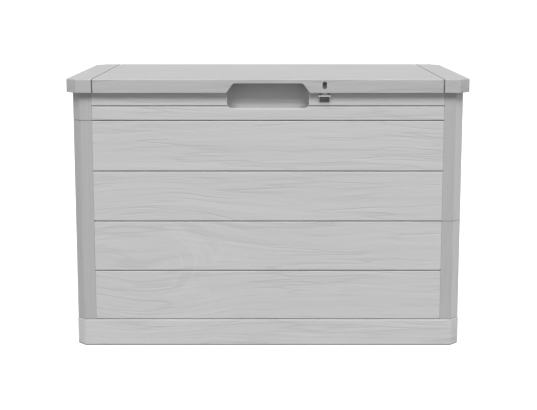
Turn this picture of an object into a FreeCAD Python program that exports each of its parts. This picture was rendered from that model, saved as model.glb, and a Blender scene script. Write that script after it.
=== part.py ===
import FreeCAD, Part
import os
import re
import Sketcher

# Cushion storage box with a hinged lid, in millimetres.
# X runs to the right and Y to the back, so the front faces -Y. Z is up.
# The origin is on the ground, under the middle of the box.

SIZES = [
    ("box_width", 760, "width over the base"),
    ("box_depth", 420, "depth over the base"),
    ("base_height", 53.5, "height of the base skirt"),
    ("plank_pitch", 99.2, "height of one plank"),
    ("cap_band", 28.2, "height of the narrow band above the planks"),
    ("top_band", 41.5, "height from that band to the top of the wall"),
    ("corner_cut", 16.4, "leg of the slanted corners of the base"),
    ("corner_round", 8, "radius where a slanted corner meets a face"),
    ("edge_round", 2.5, "radius of the base's long edges"),
    ("wall", 3, "thickness of the moulded walls"),
    ("panel_setback", 0.8, "walls stand this far behind the base's face"),
    ("edge_break", 0.8, "chamfer on the edges that meet at a joint line"),
    ("groove_width", 2, "width of the steep part of a plank groove"),
    ("groove_floor", 1.4, "width of the groove's floor"),
    ("groove_depth", 1.9, "depth of a plank groove"),
    ("groove_lip", 1.1, "width of the slope beside a groove"),
    ("lip_depth", 0.4, "depth of that slope"),
    ("fit_gap", 0.3, "clearance of a tongue in its channel"),
    ("seam_gap", 0.3, "gap between a panel and a post"),
    ("tongue", 3, "thickness of a tongue"),
    ("tongue_reach", 18, "how far a panel's tongue runs into a post"),
    ("edge_step", 5, "width of the step that carries a side tongue"),
    ("foot_break", 1.6, "chamfer along the foot of a wall"),
    ("foot_step", 4, "height of the step that carries the lower tongue"),
    ("rim_depth", 8, "width of the rim along the top of a wall"),
    ("stiffener_wall", 2.5, "thickness of a stiffening rib"),
    ("stiffener_depth", 8, "distance of a panel's rib edge from its face"),
    ("rib_pitch", 85, "spacing of the ribs on the long panels"),
    ("side_rib_pitch", 110, "spacing of the ribs on the side panels"),
    ("floor_height", 14, "space under the floor"),
    ("floor_thick", 3, "thickness of the floor"),
    ("ring_height", 14, "height of the inner ring on the floor"),
    ("ring_wall", 2.5, "thickness of the inner ring"),
    ("base_rib_x", 125, "spacing of the ribs under the floor, along X"),
    ("base_rib_y", 100, "spacing of the ribs under the floor, along Y"),
    ("post_width", 38.4, "width of a post's face, from the corner"),
    ("post_liner", 2.5, "thickness of a post's inner wall"),
    ("peg_radius", 2, "radius of the pegs between two post lengths"),
    ("peg_length", 8, "length of those pegs"),
    ("scoop_width", 157.4, "width of the hand scoop"),
    ("scoop_drop", 46, "depth of the scoop below the top of the wall"),
    ("scoop_depth", 24, "how far the scoop is set in"),
    ("scoop_rise", 0.5, "how much the scoop's floor climbs to the back"),
    ("scoop_round", 9, "radius in the scoop's corners"),
    ("scoop_lip", 2, "radius of the edge around the scoop's mouth"),
    ("lock_x", 108.8, "distance of the padlock slot from the middle"),
    ("recess_width", 18.2, "width of the padlock recess"),
    ("recess_height", 12, "height of the padlock recess"),
    ("recess_drop", 22.7, "its top, below the top of the wall"),
    ("recess_depth", 8, "depth of the padlock recess"),
    ("staple_width", 24.6, "width of the padlock staple at its front bar"),
    ("staple_root", 17.6, "width of the staple at the wall"),
    ("staple_thick", 2.2, "thickness of the staple"),
    ("staple_lift", 3.4, "bottom of the staple's root, above the recess"),
    ("staple_fall", 3.2, "how much lower the front bar is than the root"),
    ("staple_reach", 9.7, "how far the staple stands out of the wall"),
    ("staple_bar", 2.2, "width of the staple's bars"),
    ("staple_round", 1.5, "radius of the staple's front corners"),
    ("tang_width", 14, "width of the staple's tang"),
    ("tang_length", 8, "length of the tang"),
    ("tang_gap", 0.1, "clearance of the tang in its slot"),
    ("lid_overhang", 10, "how far the lid stands out beyond the base"),
    ("lid_cut", 21, "leg of the lid's slanted corners"),
    ("lid_thick", 3, "thickness of the lid's top"),
    ("lid_space", 8, "from the top of the wall to the lid's underside"),
    ("skirt_height", 26.5, "height of the lid's skirt"),
    ("lid_round", 2, "radius of the lid's upper edge"),
    ("skirt_round", 0.8, "radius of the skirt's lower edge"),
    ("lid_corner_round", 2.5, "radius where a slanted corner meets a face"),
    ("lid_groove_inset", 52, "the lid's grooves, from its ends"),
    ("lid_groove_width", 2.8, "width of the lid's grooves"),
    ("lid_groove_floor", 1.6, "width of those grooves at their floor"),
    ("lid_groove_depth", 1.8, "depth of the lid's grooves"),
    ("notch_top", 134, "width of the hand cut-out at its top"),
    ("notch_bottom", 160, "width of the hand cut-out at the skirt's edge"),
    ("notch_height", 18.3, "height of the hand cut-out"),
    ("notch_round", 6, "radius in the cut-out's upper corners"),
    ("slot_width", 8.3, "width of the padlock slot"),
    ("slot_height", 14.8, "height of the padlock slot"),
    ("slot_drop", 4.5, "top of the padlock slot, below the lid's top"),
    ("slot_flat", 0.02, "flat left between the slot's rounded corners"),
    ("rest_gap", 0.4, "gap between the lid's ring and the wall"),
    ("ring_inset", 2, "the lid's ring, in from the wall's face"),
    ("lid_ring_wall", 2.5, "thickness of the lid's ring"),
    ("lid_rib_wall", 2, "thickness of the ribs under the lid"),
    ("lid_rib_height", 5, "height of the ribs under the lid"),
    ("lid_rib_x", 85, "spacing of the lid's ribs, along X"),
    ("lid_rib_y", 90, "spacing of the lid's ribs, along Y"),
    ("lid_rib_reach", 180, "how far the ribs run from the middle, along Y"),
    ("hinge_inset", 150, "a hinge's middle, from the end of the box"),
    ("hinge_width", 60, "width of a hinge bracket"),
    ("hinge_out", 5.8, "hinge axis, out from the wall"),
    ("hinge_drop", 12, "hinge axis, below the top of the wall"),
    ("knuckle_radius", 5, "radius of a hinge knuckle"),
    ("leaf_knuckle", 31, "length of the leaf's knuckle"),
    ("knuckle_gap", 0.5, "gap beside a knuckle"),
    ("gusset_drop", 12, "foot of the gusset under a knuckle, below the axis"),
    ("gusset_out", 4, "reach of that gusset behind the axis"),
    ("gusset_rise", 3, "corner of that gusset, below the axis"),
    ("plate_thick", 2.5, "thickness of the bracket's plate"),
    ("plate_drop", 42, "bottom of the plate, below the hinge axis"),
    ("plate_clear", 8, "top of the plate between the knuckles, below the axis"),
    ("leaf_width", 52, "width of the hinge leaf"),
    ("leaf_thick", 3, "thickness of the hinge leaf"),
    ("leaf_reach", 27, "how far the leaf runs in from the axis"),
    ("leaf_pad", 3, "height of the lid's pad for the leaf"),
    ("notch_gap", 1, "gap between the lid's skirt and a hinge"),
    ("pin_radius", 2, "radius of the hinge pin"),
    ("pin_gap", 0.05, "clearance of the pin in the knuckles"),
    ("pin_head", 3.2, "radius of the pin's head"),
    ("pin_head_thick", 1.2, "thickness of the pin's head"),
    ("screw_radius", 1.9, "radius of a screw"),
    ("screw_gap", 0.05, "clearance of a screw in its hole"),
    ("screw_head", 3.6, "radius of a screw's head"),
    ("screw_head_thick", 2.2, "thickness of a screw's head"),
    ("screw_socket", 1.7, "radius of the socket in the head"),
    ("screw_socket_depth", 1.3, "depth of the socket in the head"),
    ("bracket_screw_length", 10.5, "length of a bracket screw"),
    ("leaf_screw_length", 7, "length of a leaf screw"),
    ("screw_x", 18, "screws, from the middle of a hinge"),
    ("bracket_screw_drop", 28, "bracket screws, below the hinge axis"),
    ("leaf_screw_in", 20, "leaf screws, in from the hinge axis"),
    ("boss_half", 8, "half the size of a screw boss"),
    ("boss_depth", 10, "depth of a screw boss from the wall's face"),
]

PLANKS = 4
BASE_RIBS_X = (-2, -1, 0, 1, 2)
BASE_RIBS_Y = (-1, 0, 1)
LID_RIBS_X = (-3, -2, -1, 0, 1, 2, 3)
LID_RIBS_Y = (-1, 0, 1)
LONG_RIBS = (-3, -2, 2, 3)
SIDE_RIBS = (-1, 0, 1)

# Places that follow from the sizes
PLACES = [
    ("face_x", "box_width/2 - panel_setback"),
    ("face_y", "box_depth/2 - panel_setback"),
    ("front_half", "face_x - post_width - seam_gap"),
    ("side_half", "face_y - post_width - seam_gap"),
    ("floor_top", "floor_height + floor_thick"),
    ("planks_top", f"base_height + {PLANKS}*plank_pitch"),
    ("high_seam", "planks_top"),
    ("low_seam", f"base_height + {PLANKS // 2}*plank_pitch"),
    ("cap_top", "planks_top + cap_band"),
    ("wall_top", "cap_top + top_band"),
    ("skin_mid", "(groove_depth + wall)/2"),
    ("tongue_in", "wall - panel_setback + fit_gap"),
    ("side_in", "wall + fit_gap"),
    ("liner_in", "side_in + tongue + fit_gap"),
    ("base_ring_inset", "wall + tongue + 2*fit_gap"),
    ("post_cut", "corner_cut - panel_setback*(2 - sqrt(2))"),
    ("scoop_bottom", "wall_top - scoop_drop"),
    ("scoop_skin", "wall*sqrt(1 + (scoop_rise/scoop_depth)^2)"),
    ("recess_top", "wall_top - recess_drop"),
    ("recess_bottom", "recess_top - recess_height"),
    ("staple_low", "recess_top + staple_lift"),
    ("staple_top", "staple_low + staple_thick"),
    ("lid_under", "wall_top + lid_space"),
    ("lid_top", "lid_under + lid_thick"),
    ("skirt_bottom", "lid_top - skirt_height"),
    ("lid_x", "box_width/2 + lid_overhang"),
    ("lid_y", "box_depth/2 + lid_overhang"),
    ("lid_groove_x", "lid_x - lid_groove_inset"),
    ("hinge_x", "box_width/2 - hinge_inset"),
    ("axis_y", "face_y + hinge_out"),
    ("axis_z", "wall_top - hinge_drop"),
    ("leaf_top", "lid_under - leaf_pad - axis_z"),
    ("leaf_back", "lid_y - wall - fit_gap - axis_y"),
]

TOLERANCE = 0.001

doc = FreeCAD.newDocument("cushion_box")
sheet = doc.addObject("Spreadsheet::Sheet", "sizes")
for row, (alias, value, meaning) in enumerate(SIZES, start=1):
    sheet.set(f"A{row}", meaning)
    sheet.set(f"B{row}", str(value))
    sheet.setAlias(f"B{row}", alias)
doc.recompute()

NAMES = {alias: "sizes." + alias for alias, value, meaning in SIZES}


def full(text):
    """The expression with each name written out as the sheet's cells."""
    return re.sub(r"[a-z_]+", lambda found: NAMES.get(found.group(), found.group()), str(text))


for place, rule in PLACES:
    NAMES[place] = "(" + full(rule) + ")"


def number(text):
    """The present value of an expression."""
    return float(sheet.evalExpression(full(text)))


# Sketches and features

def new_body(name):
    body = doc.addObject("PartDesign::Body", name)
    body.Label = name
    return body


def new_sketch(body, name, plane, offset):
    sketch = body.newObject("Sketcher::SketchObject", name)
    support = [item for item in body.Origin.OriginFeatures if item.Role == plane][0]
    sketch.AttachmentSupport = (support, [""])
    sketch.MapMode = "FlatFace"
    sketch.setExpression("AttachmentOffset.Base.z", full(offset))
    return sketch


def hold(sketch, kind, geometry, vertex, text):
    """Ties a point's distance from the sketch's origin to an expression."""
    rule = Sketcher.Constraint(kind, -1, 1, geometry, vertex, number(text))
    index = sketch.addConstraint(rule)
    sketch.setExpression(f"Constraints[{index}]", full(text))


def polygons(body, name, plane, loops, offset="0"):
    """A sketch of closed outlines, each a list of (x, y) expressions."""
    sketch = new_sketch(body, name, plane, offset)
    for loop in loops:
        first = sketch.GeometryCount
        points = [FreeCAD.Vector(number(x), number(y), 0) for x, y in loop]
        sides = [Part.LineSegment(a, b) for a, b in zip(points, points[1:] + points[:1])]
        sketch.addGeometry(sides, False)
        joints = [(first + k, first + (k + 1) % len(loop)) for k in range(len(loop))]
        sketch.addConstraint([Sketcher.Constraint("Coincident", a, 2, b, 1) for a, b in joints])
        for k, (x, y) in enumerate(loop):
            hold(sketch, "DistanceX", first + k, 1, x)
            hold(sketch, "DistanceY", first + k, 1, y)
    return sketch


def circles(body, name, plane, centres, radius, offset="0"):
    """A sketch of equal circles at (x, y) expressions."""
    sketch = new_sketch(body, name, plane, offset)
    for x, y in centres:
        centre = FreeCAD.Vector(number(x), number(y), 0)
        up = FreeCAD.Vector(0, 0, 1)
        k = sketch.addGeometry(Part.Circle(centre, up, number(radius)), False)
        hold(sketch, "DistanceX", k, 3, x)
        hold(sketch, "DistanceY", k, 3, y)
        index = sketch.addConstraint(Sketcher.Constraint("Radius", k, number(radius)))
        sketch.setExpression(f"Constraints[{index}]", full(radius))
    return sketch


def extrude(body, kind, name, sketch, length, both_ways=False, turned=False):
    """A Pad or a Pocket, which has to add or take away material."""
    before = body.Tip.Shape.Volume if body.Tip else 0
    feature = body.newObject("PartDesign::" + kind, name)
    feature.Profile = sketch
    feature.SideType = "Symmetric" if both_ways else "One side"
    feature.Reversed = turned
    feature.setExpression("Length", full(length))
    doc.recompute([sketch, feature])
    change = feature.Shape.Volume - before
    if (change > 0) != (kind == "Pad"):
        raise ValueError(f"{body.Label}: {name} changes the volume by {change:.1f}")
    return feature


def pad(body, name, sketch, length, **ways):
    return extrude(body, "Pad", name, sketch, length, **ways)


def pocket(body, name, sketch, length, **ways):
    return extrude(body, "Pocket", name, sketch, length, **ways)


def on(edge, **where):
    """Whether the whole edge lies at the given x, y or z."""
    box = edge.BoundBox
    for axis, text in where.items():
        low = getattr(box, axis.upper() + "Min")
        high = getattr(box, axis.upper() + "Max")
        if max(abs(low - number(text)), abs(high - number(text))) > TOLERANCE:
            return False
    return True


def upright(edge):
    box = edge.BoundBox
    return box.XLength < TOLERANCE and box.YLength < TOLERANCE


def dress(body, kind, name, size, test):
    """A Fillet or a Chamfer on the edges that pass the test."""
    base = body.Tip
    chosen = [f"Edge{k}" for k, edge in enumerate(base.Shape.Edges, start=1) if test(edge)]
    if not chosen:
        raise ValueError(f"{body.Label}: no edge for {name}")
    feature = body.newObject("PartDesign::" + kind, name)
    feature.Base = (base, chosen)
    feature.setExpression("Radius" if kind == "Fillet" else "Size", full(size))
    doc.recompute([feature])
    return feature


def rectangle(x_low, x_high, y_low, y_high):
    return [(x_low, y_low), (x_high, y_low), (x_high, y_high), (x_low, y_high)]


def octagon(half_x, half_y, cut, inset="0"):
    """A rectangle with slanted corners, drawn in by the inset on every side."""
    x = f"{half_x} - ({inset})"
    y = f"{half_y} - ({inset})"
    leg = f"({cut} - ({inset})*(2 - sqrt(2)))"
    quarter = [(x, f"{y} - {leg}"), (f"{x} - {leg}", y)]
    points = []
    for sign_x, sign_y in ((1, 1), (-1, 1), (-1, -1), (1, -1)):
        corner = [(f"{sign_x}*({a})", f"{sign_y}*({b})") for a, b in quarter]
        points += corner if sign_x == sign_y else corner[::-1]
    return points


def place(thing, x, y, z, turn=0):
    """Puts a sub-part at (x, y, z) expressions, turned about Z by degrees."""
    axis = FreeCAD.Vector(0, 0, 1)
    thing.Placement = FreeCAD.Placement(FreeCAD.Vector(0, 0, 0), FreeCAD.Rotation(axis, turn))
    for letter, text in zip("xyz", (x, y, z)):
        thing.setExpression("Placement.Base." + letter, full(text))


# Base: a tray with a skirt, a floor on ribs and the channel for the walls

def base_tray():
    body = new_body("base_tray")
    half = ("box_width/2", "box_depth/2", "corner_cut")
    outer = polygons(body, "base_outline", "XY_Plane", [octagon(*half)])
    pad(body, "base_block", outer, "base_height")
    dress(body, "Fillet", "base_corners", "corner_round", upright)
    dress(body, "Fillet", "base_edges", "edge_round",
          lambda edge: on(edge, z="base_height") or on(edge, z="0"))
    inner = octagon(*half, "wall")
    tray = polygons(body, "tray_outline", "XY_Plane", [inner], "base_height")
    pocket(body, "tray", tray, "base_height - floor_top")
    below = polygons(body, "underside_outline", "XY_Plane", [inner])
    pocket(body, "underside", below, "floor_height", turned=True)
    ring = [octagon(*half, "base_ring_inset"), octagon(*half, "base_ring_inset + ring_wall")]
    ring = polygons(body, "ring_outline", "XY_Plane", ring, "floor_top")
    pad(body, "inner_ring", ring, "ring_height")
    half_rib = "stiffener_wall/2"
    reach_x = "(box_width/2 - wall/2)"
    reach_y = "(box_depth/2 - wall/2)"
    long_ribs = [rectangle(f"-{reach_x}", reach_x, f"{k}*base_rib_y - {half_rib}",
                           f"{k}*base_rib_y + {half_rib}") for k in BASE_RIBS_Y]
    pad(body, "long_ribs", polygons(body, "long_rib_plan", "XY_Plane", long_ribs), "floor_height")
    cross_ribs = [rectangle(f"{k}*base_rib_x - {half_rib}", f"{k}*base_rib_x + {half_rib}",
                            f"-{reach_y}", reach_y) for k in BASE_RIBS_X]
    pad(body, "cross_ribs", polygons(body, "cross_rib_plan", "XY_Plane", cross_ribs), "floor_height")
    return body


# Walls: a panel's own frame has its outer face on y = 0, looking along -Y

def panel_section():
    """The panel cut from front to back: skin, rim, step and tongue."""
    return [
        ("tongue_in", "base_height"),
        ("foot_break", "base_height"),
        ("0", "base_height + foot_break"),
        ("0", "wall_top"),
        ("rim_depth", "wall_top"),
        ("rim_depth", "wall_top - wall"),
        ("wall", "wall_top - wall"),
        ("wall", "base_height + foot_step"),
        ("tongue_in + tongue", "base_height + foot_step"),
        ("tongue_in + tongue", "floor_top + fit_gap"),
        ("tongue_in", "floor_top + fit_gap"),
    ]


def side_tongue(half, sign):
    """The tongue at one end of a panel, seen from above."""
    end = f"{half} + seam_gap + tongue_reach"
    points = [
        (f"{half} - edge_step", "skin_mid"),
        (half, "skin_mid"),
        (half, "side_in"),
        (end, "side_in"),
        (end, "side_in + tongue"),
        (f"{half} - edge_step", "side_in + tongue"),
    ]
    return [(f"{sign}*({x})", y) for x, y in points]


def panel(name, half, rib_pitch, ribs):
    body = new_body(name)
    section = polygons(body, "section", "YZ_Plane", [panel_section()])
    pad(body, "skin", section, f"2*{half}", both_ways=True)
    ends = [side_tongue(half, sign) for sign in (1, -1)]
    ends = polygons(body, "tongue_plan", "XY_Plane", ends, "base_height")
    pad(body, "side_tongues", ends, "wall_top - base_height")
    strips = [rectangle(f"{k}*{rib_pitch} - stiffener_wall/2", f"{k}*{rib_pitch} + stiffener_wall/2",
                        "skin_mid", "stiffener_depth") for k in ribs]
    strips = polygons(body, "rib_plan", "XY_Plane", strips, "base_height + foot_step/2")
    pad(body, "ribs", strips, "wall_top - base_height - foot_step/2 - wall/2")
    return body


def plank_grooves(body, half):
    """The grooves between the planks, each with a gentle slope on either side."""
    steep = "groove_width/2"
    heights = [f"base_height + {k}*plank_pitch" for k in range(1, PLANKS + 1)] + ["cap_top"]
    grooves = [[
        ("-wall", f"{z} - {steep} - groove_lip"),
        ("0", f"{z} - {steep} - groove_lip"),
        ("lip_depth", f"{z} - {steep}"),
        ("groove_depth", f"{z} - groove_floor/2"),
        ("groove_depth", f"{z} + groove_floor/2"),
        ("lip_depth", f"{z} + {steep}"),
        ("0", f"{z} + {steep} + groove_lip"),
        ("-wall", f"{z} + {steep} + groove_lip"),
    ] for z in heights]
    grooves = polygons(body, "groove_section", "YZ_Plane", grooves)
    pocket(body, "plank_grooves", grooves, f"2*({half} + wall)", both_ways=True)


def hand_scoop(body):
    """The scoop that fingers reach into, under the lid's cut-out."""
    slope = "(scoop_rise/scoop_depth)"
    back = "scoop_depth + wall"
    shell = [
        ("skin_mid", f"scoop_bottom - scoop_skin + {slope}*skin_mid"),
        (back, f"scoop_bottom - scoop_skin + {slope}*({back})"),
        (back, "wall_top"),
        ("skin_mid", "wall_top"),
    ]
    shell = polygons(body, "scoop_shell_section", "YZ_Plane", [shell])
    pad(body, "scoop_shell", shell, "scoop_width + 2*wall", both_ways=True)
    hollow = [
        ("-wall", "scoop_bottom"),
        ("0", "scoop_bottom"),
        ("scoop_depth", "scoop_bottom + scoop_rise"),
        ("scoop_depth", "wall_top + wall"),
        ("-wall", "wall_top + wall"),
    ]
    hollow = polygons(body, "scoop_section", "YZ_Plane", [hollow])
    pocket(body, "scoop", hollow, "scoop_width", both_ways=True)

    def in_corner(edge):
        box = edge.BoundBox
        on_side = abs(abs(box.XMax) - number("scoop_width/2")) < TOLERANCE and box.XLength < TOLERANCE
        floor = on_side and abs(box.ZLength - number("scoop_rise")) < TOLERANCE
        at_back = on(edge, y="scoop_depth")
        return floor or (at_back and (on_side or on(edge, z="scoop_bottom + scoop_rise")))

    def at_mouth(edge):
        box = edge.BoundBox
        inside = box.XMax < number("scoop_width/2") + TOLERANCE
        inside = inside and box.XMin > -number("scoop_width/2") - TOLERANCE
        return inside and on(edge, y="0") and box.ZMin > number("scoop_bottom") - TOLERANCE

    dress(body, "Fillet", "scoop_corners", "scoop_round", in_corner)
    dress(body, "Fillet", "scoop_mouth", "scoop_lip", at_mouth)


def lock_recess(body):
    """The recess below the staple, and the slot that its tang sits in."""
    low = "recess_bottom - wall"
    block = rectangle("lock_x - recess_width/2 - wall", "lock_x + recess_width/2 + wall",
                      "skin_mid", "recess_depth + wall")
    block = polygons(body, "lock_block_plan", "XY_Plane", [block], low)
    pad(body, "lock_block", block, f"staple_top + wall - ({low})")
    recess = rectangle("lock_x - recess_width/2", "lock_x + recess_width/2",
                       "recess_bottom", "recess_top")
    recess = polygons(body, "recess_outline", "XZ_Plane", [recess])
    pocket(body, "lock_recess", recess, "recess_depth")
    slot = rectangle("lock_x - tang_width/2 - tang_gap", "lock_x + tang_width/2 + tang_gap",
                     "staple_low - tang_gap", "staple_top + tang_gap")
    slot = polygons(body, "tang_slot_outline", "XZ_Plane", [slot])
    pocket(body, "tang_slot", slot, "tang_length + tang_gap")


def hinge_bosses(body):
    """The solid blocks behind the skin that the bracket screws bite into."""
    height = "axis_z - bracket_screw_drop"
    centres = [f"{side}*hinge_x + {hand}*screw_x" for side in (-1, 1) for hand in (-1, 1)]
    blocks = [rectangle(f"{x} - boss_half", f"{x} + boss_half", "skin_mid", "boss_depth")
              for x in centres]
    blocks = polygons(body, "boss_plan", "XY_Plane", blocks, f"{height} - boss_half")
    pad(body, "bosses", blocks, "2*boss_half")
    holes = [(x, height) for x in centres]
    holes = circles(body, "boss_holes", "XZ_Plane", holes, "screw_radius + screw_gap")
    pocket(body, "screw_holes", holes, "bracket_screw_length - plate_thick + screw_gap")


def walls():
    front = panel("front_panel", "front_half", "rib_pitch", LONG_RIBS)
    hand_scoop(front)
    lock_recess(front)
    back = panel("back_panel", "front_half", "rib_pitch", LONG_RIBS)
    hinge_bosses(back)
    left = panel("left_side_panel", "side_half", "side_rib_pitch", SIDE_RIBS)
    right = panel("right_side_panel", "side_half", "side_rib_pitch", SIDE_RIBS)
    stands = [
        (front, "front_half", "0", "-face_y", 0),
        (back, "front_half", "0", "face_y", 180),
        (left, "side_half", "-face_x", "0", -90),
        (right, "side_half", "face_x", "0", 90),
    ]
    for body, half, x, y, turn in stands:
        plank_grooves(body, half)
        place(body, x, y, "0", turn)
    return [front, back, left, right]


# Posts: a post's own frame has the box's sharp corner at the origin.
# Its arms run along -X and +Y, and it is the same across the diagonal.

def mirrored(points):
    """The arm's points, then the same ones across the diagonal, in reverse."""
    other = [(f"-({y})", f"-({x})") for x, y in reversed(points)]
    return points + other


def post_outline():
    arm_end = "-post_width"
    channel_end = "-post_width + tongue_reach + fit_gap"
    liner_end = "-post_width + fit_gap"
    liner_face = "liner_in + post_liner"
    outer = [(arm_end, "0"), ("-post_cut", "0")]
    outer = mirrored(outer)
    inner_leg = f"post_cut + wall*sqrt(2) - ({liner_face})"
    inner = [
        (f"-({liner_face})", inner_leg),
        (f"-({inner_leg})", liner_face),
        (liner_end, liner_face),
        (liner_end, "liner_in"),
        (channel_end, "liner_in"),
        (channel_end, "wall"),
        (arm_end, "wall"),
    ]
    far_side = [(f"-({y})", f"-({x})") for x, y in reversed(inner[2:])]
    return outer + far_side + inner


def foot_outline():
    """The part of a post that stands in the base, behind its skirt."""
    end = "-post_width + fit_gap"
    back = "tongue_in + tongue"
    skirt_cut = "corner_cut - panel_setback*2 + wall*sqrt(2) + fit_gap*sqrt(2)"
    outer = [(end, "tongue_in"), (f"-({skirt_cut} - tongue_in)", "tongue_in")]
    inner_leg = f"{skirt_cut} + tongue*sqrt(2) - ({back})"
    inner = [(f"-({inner_leg})", back), (end, back)]
    far_side = [(f"-({y})", f"-({x})") for x, y in reversed(inner)]
    return mirrored(outer) + far_side + inner


def on_post_face(edge):
    """Whether an edge is on the outside of a post."""
    middle = edge.CenterOfMass
    slanted = middle.y - middle.x < number("post_cut + wall*sqrt(2)/2")
    return middle.y < TOLERANCE or middle.x > -TOLERANCE or slanted


def peg_centres():
    middle = "(liner_in + post_liner)/2"
    along = "(post_width - tongue_reach + post_cut)/2"
    return [(f"-{along}", middle), (f"-{middle}", along)]


def post(name, seam, is_lower, x, y, turn):
    body = new_body(name)
    low, high = ("base_height", seam) if is_lower else (seam, "wall_top")
    outline = polygons(body, "post_plan", "XY_Plane", [post_outline()], low)
    pad(body, "post_length", outline, f"{high} - {low}")
    dress(body, "Fillet", "post_corners", "corner_round",
          lambda edge: upright(edge) and (on(edge, x="-post_cut", y="0")
                                          or on(edge, x="0", y="post_cut")))
    ends = (low, high) if is_lower else (low,)
    dress(body, "Chamfer", "joint_chamfer", "edge_break",
          lambda edge: any(on(edge, z=end) for end in ends) and on_post_face(edge))
    if is_lower:
        foot = polygons(body, "foot_plan", "XY_Plane", [foot_outline()], "floor_top + fit_gap")
        pad(body, "foot", foot, "base_height - floor_top - fit_gap")
        pegs = circles(body, "peg_plan", "XY_Plane", peg_centres(), "peg_radius", seam)
        pad(body, "pegs", pegs, "peg_length")
    else:
        sockets = circles(body, "socket_plan", "XY_Plane", peg_centres(),
                          "peg_radius + fit_gap", seam)
        pocket(body, "sockets", sockets, "peg_length + fit_gap", turned=True)
    place(body, x, y, "0", turn)
    return body


def posts():
    """Diagonally opposite corners are the same mouldings, half a turn apart."""
    corners = [
        ("front_right", "low_seam", "face_x", "-face_y", 0),
        ("back_right", "high_seam", "face_x", "face_y", 90),
        ("back_left", "low_seam", "-face_x", "face_y", 180),
        ("front_left", "high_seam", "-face_x", "-face_y", -90),
    ]
    bodies = []
    for corner, seam, x, y, turn in corners:
        bodies.append(post(f"post_{corner}_lower", seam, True, x, y, turn))
        bodies.append(post(f"post_{corner}_upper", seam, False, x, y, turn))
    return bodies


# Staple: its own frame starts on the wall's face, at the bottom of the staple's root

def padlock_staple():
    """A loop that widens and falls towards its front bar, on a tang in the wall."""
    body = new_body("padlock_staple")
    section = [
        ("tang_length", "0"),
        ("tang_length", "staple_thick"),
        ("0", "staple_thick"),
        ("staple_bar - staple_reach", "staple_thick - staple_fall"),
        ("-staple_reach", "staple_thick - staple_fall"),
        ("-staple_reach", "-staple_fall"),
        ("staple_bar - staple_reach", "-staple_fall"),
        ("0", "0"),
    ]
    section = polygons(body, "staple_section", "YZ_Plane", [section])
    pad(body, "staple_plate", section, "staple_width", both_ways=True)
    for word, side in (("left", -1), ("right", 1)):
        outside = [
            (f"{side}*(staple_width/2 + wall)", "staple_bar - staple_reach"),
            (f"{side}*staple_width/2", "staple_bar - staple_reach"),
            (f"{side}*staple_root/2", "0"),
            (f"{side}*tang_width/2", "0"),
            (f"{side}*tang_width/2", "tang_length + wall"),
            (f"{side}*(staple_width/2 + wall)", "tang_length + wall"),
        ]
        outside = polygons(body, f"{word}_side_plan", "XY_Plane", [outside])
        pocket(body, f"{word}_side", outside, "2*(staple_fall + staple_thick)", both_ways=True)
    hole = [
        ("-staple_width/2 + staple_bar", "staple_bar - staple_reach"),
        ("staple_width/2 - staple_bar", "staple_bar - staple_reach"),
        ("staple_root/2 - staple_bar", "-staple_bar"),
        ("-staple_root/2 + staple_bar", "-staple_bar"),
    ]
    hole = polygons(body, "staple_hole_plan", "XY_Plane", [hole])
    pocket(body, "staple_hole", hole, "2*(staple_fall + staple_thick)", both_ways=True)
    dress(body, "Fillet", "staple_corners", "staple_round",
          lambda edge: upright(edge) and on(edge, y="-staple_reach"))
    place(body, "lock_x", "-face_y", "staple_low")
    return body


# Lid

def lid_shell():
    body = new_body("lid_shell")
    half = ("lid_x", "lid_y", "lid_cut")
    outer = polygons(body, "lid_outline", "XY_Plane", [octagon(*half)], "skirt_bottom")
    pad(body, "lid_block", outer, "skirt_height")
    dress(body, "Fillet", "lid_corners", "lid_corner_round", upright)
    dress(body, "Fillet", "lid_edge", "lid_round", lambda edge: on(edge, z="lid_top"))
    inner = polygons(body, "lid_hollow_outline", "XY_Plane", [octagon(*half, "wall")], "skirt_bottom")
    pocket(body, "lid_hollow", inner, "skirt_height - lid_thick", turned=True)
    hand_notch(body)
    padlock_slot(body)
    hinge_notches(body)
    dress(body, "Fillet", "skirt_edge", "skirt_round", on_skirt_edge)
    lid_ring(body)
    lid_ribs(body)
    lid_grooves(body)
    return body


def hand_notch(body):
    """The cut-out in the front of the skirt, over the scoop."""
    top = "skirt_bottom + notch_height"
    slope = "(notch_bottom - notch_top)/(2*notch_height)"
    below = f"notch_bottom/2 + {slope}*wall"
    notch = [
        (f"-({below})", "skirt_bottom - wall"),
        (below, "skirt_bottom - wall"),
        ("notch_top/2", top),
        ("-notch_top/2", top),
    ]
    notch = polygons(body, "notch_outline", "XZ_Plane", [notch], "lid_y")
    pocket(body, "hand_notch", notch, "2*wall")

    def upper_corner(edge):
        middle = edge.CenterOfMass
        at_corner = abs(abs(middle.x) - number("notch_top/2")) < TOLERANCE
        return at_corner and on(edge, z=top) and edge.BoundBox.XLength < TOLERANCE

    def lower_corner(edge):
        middle = edge.CenterOfMass
        at_corner = abs(abs(middle.x) - number("notch_bottom/2")) < TOLERANCE
        return at_corner and on(edge, z="skirt_bottom") and middle.y < 0

    dress(body, "Fillet", "notch_corners", "notch_round",
          lambda edge: upper_corner(edge) or lower_corner(edge))


def padlock_slot(body):
    """The upright slot that a padlock's shackle goes through."""
    slot = rectangle("lock_x - slot_width/2", "lock_x + slot_width/2",
                     "lid_top - slot_drop - slot_height", "lid_top - slot_drop")
    slot = polygons(body, "slot_outline", "XZ_Plane", [slot], "lid_y")
    pocket(body, "padlock_slot", slot, "2*wall")

    def in_slot(edge):
        box = edge.BoundBox
        across = abs(abs(box.XMin - number("lock_x")) - number("slot_width/2")) < TOLERANCE
        return across and box.XLength < TOLERANCE and box.ZLength < TOLERANCE

    dress(body, "Fillet", "slot_ends", "(slot_width - slot_flat)/2", in_slot)


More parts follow.
